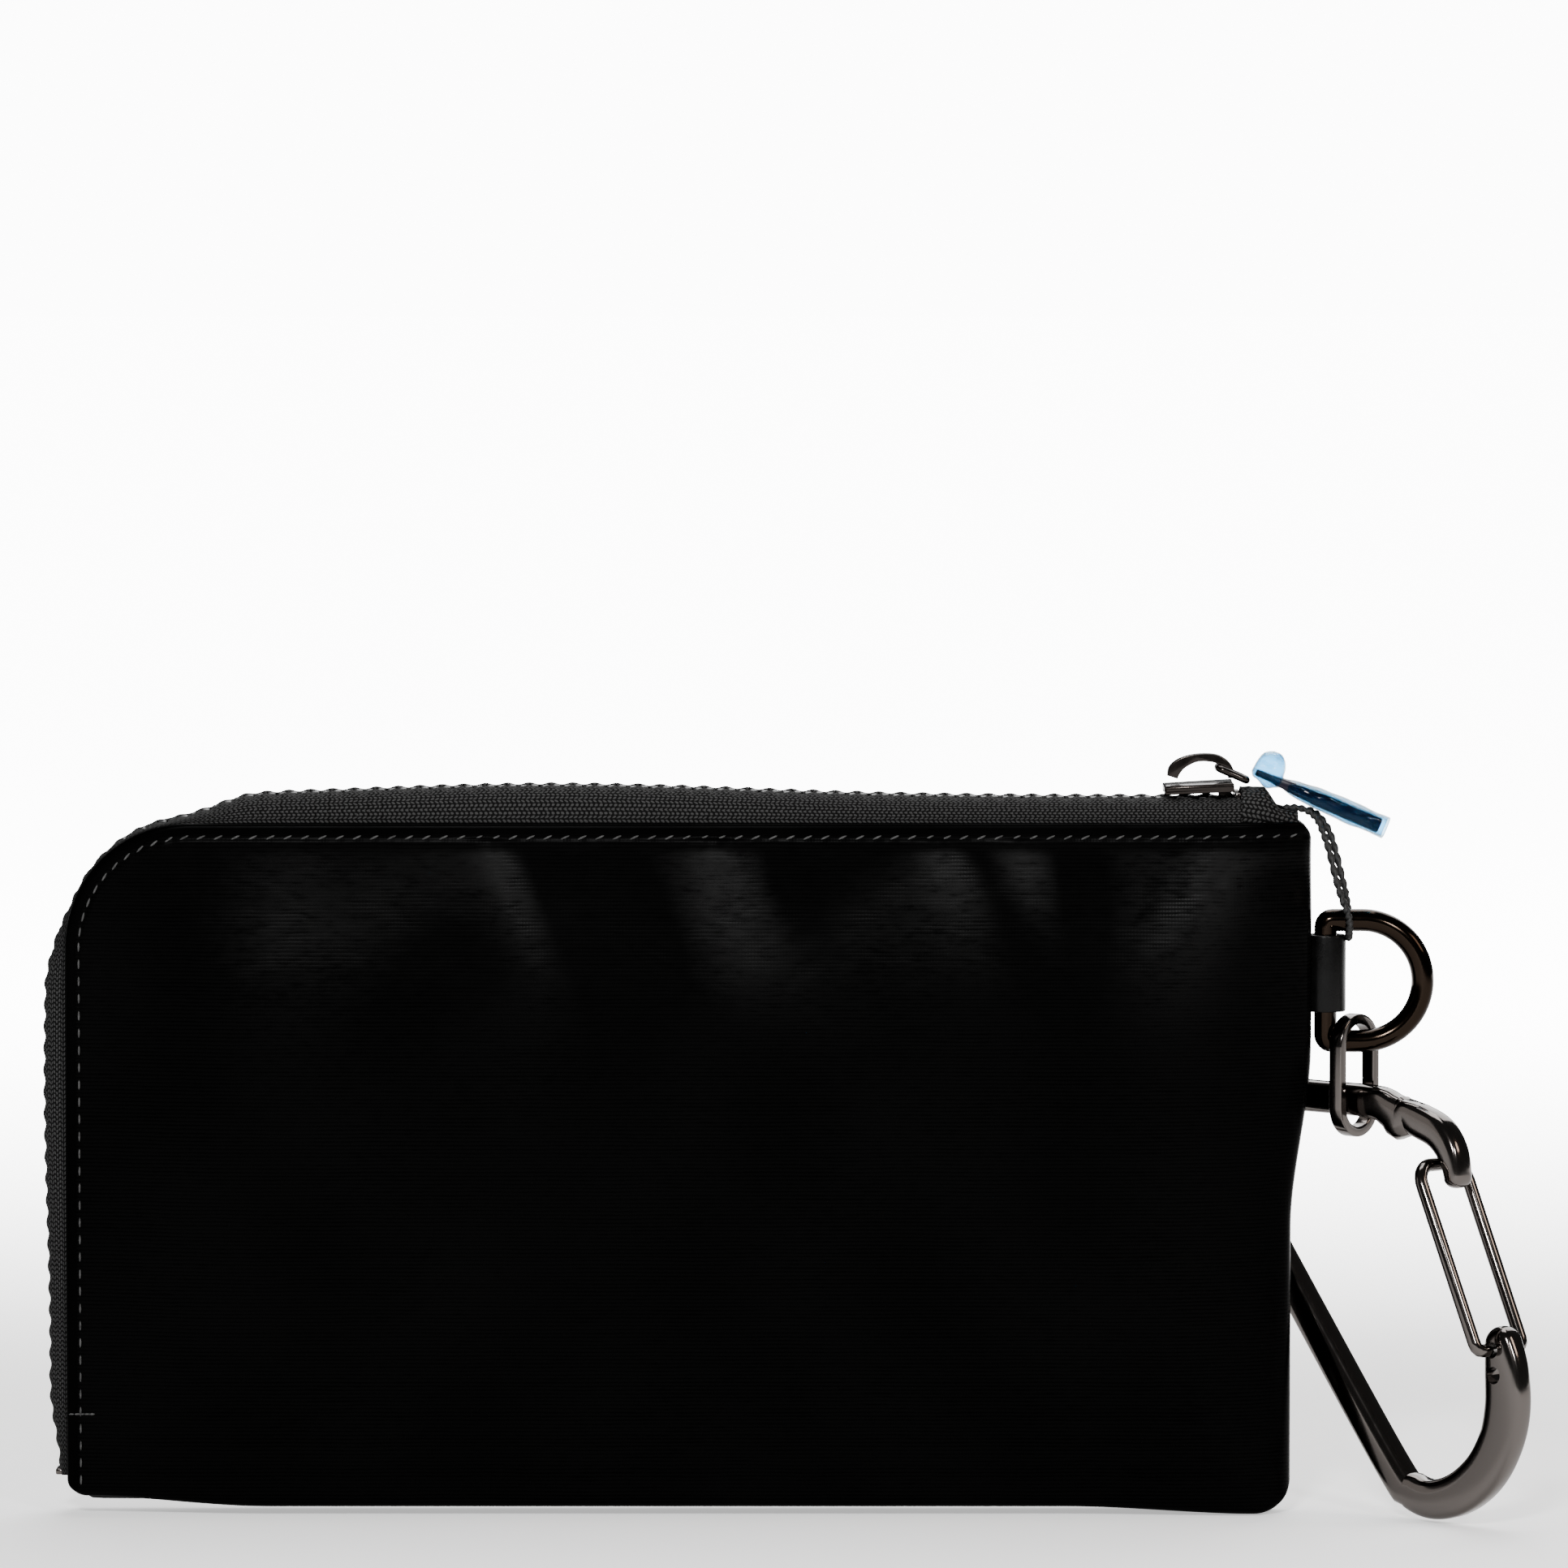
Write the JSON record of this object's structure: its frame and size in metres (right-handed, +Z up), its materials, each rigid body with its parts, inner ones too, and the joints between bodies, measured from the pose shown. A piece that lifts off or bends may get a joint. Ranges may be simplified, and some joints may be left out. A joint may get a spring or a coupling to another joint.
{
  "type": "zippered pouch",
  "caption": "Slim canvas pouch with an L-shaped zip round one corner, and a wire-gate carabiner hung from a D-ring at its side seam.",
  "frame": {"origin": "middle of the pouch's base face, which it stands on", "axes": "+X along the pouch from the zip's side run to the D-ring, -Y out of the plain rear panel, +Z up to the zip's top run"},
  "size_m": [0.2239, 0.0501, 0.1149],
  "materials": {
    "black_canvas": "coated canvas with a fine crosswise rib, satin where it bends",
    "lining_cloth": "plain matt lining",
    "zip_tape": "charcoal twill zip tape",
    "zip_teeth": "black moulded teeth",
    "black_nickel": "polished black nickel",
    "dark_bronze": "polished dark brown nickel",
    "smooth_leather": "smooth black strap",
    "charcoal_thread": "charcoal sewing thread",
    "cord_yarn": "thin twisted black cord",
    "blue_film": "clear pale blue protective film"
  },
  "bodies": {
    "pouch": {"rear_panel": "black_canvas", "front_panel": "black_canvas", "rear_lining": "lining_cloth", "front_lining": "lining_cloth", "rear_zip_tape": "zip_tape", "front_zip_tape": "zip_tape", "rear_teeth": "zip_teeth", "front_teeth": "zip_teeth", "rear_top_stop": "black_nickel", "front_top_stop": "black_nickel", "bottom_stop": "black_nickel", "zip_end_tab": "zip_tape", "rear_topstitch": "charcoal_thread", "front_topstitch": "charcoal_thread", "ring_tab": "smooth_leather", "tag_cord": "cord_yarn"},
    "slider": {"slider_body": "black_nickel", "slider_bridge": "black_nickel"},
    "puller": {"puller_eye": "black_nickel", "puller_bar": "black_nickel", "puller_film": "blue_film"},
    "ring": {"d_ring": "dark_bronze"},
    "link": {"oval_link": "black_nickel"},
    "carabiner": {"carabiner_body": "black_nickel"},
    "gate": {"carabiner_gate": "black_nickel"}
  },
  "joints": [
    {"name": "slider_slide", "type": "slide", "parent": "pouch", "child": "slider", "axis": [-1, 0, 0], "range_m": [0, 0.14], "deforming": ["rear_teeth", "front_teeth", "rear_zip_tape", "front_zip_tape"]},
    {"name": "puller_hinge", "type": "hinge", "parent": "slider", "child": "puller", "pos_m": [0.0829, 0, 0.1119], "axis": [0, -1, 0], "range_deg": [0, 47]},
    {"name": "ring_hinge", "type": "hinge", "parent": "pouch", "child": "ring", "pos_m": [0.0973, 0, 0.0805], "axis": [0, 0, 1], "range_deg": [-50, 3], "deforming": ["tag_cord"]},
    {"name": "link_hinge", "type": "hinge", "parent": "ring", "child": "link", "pos_m": [0.1017, 0, 0.07135], "axis": [1, 0, 0], "range_deg": [-3, 20]},
    {"name": "carabiner_hinge", "type": "hinge", "parent": "link", "child": "carabiner", "pos_m": [0.1017, 0, 0.05765], "axis": [0.7071, 0.7071, 0], "range_deg": [-18, 20]},
    {"name": "gate_hinge", "type": "hinge", "parent": "carabiner", "child": "gate", "pos_m": [0.12249, -0.02079, 0.0272], "axis": [-0.7071, -0.7071, 0], "range_deg": [0, 22], "stiffness_Nm_per_rad": 0.02, "springref_deg": -11.46}
  ]
}
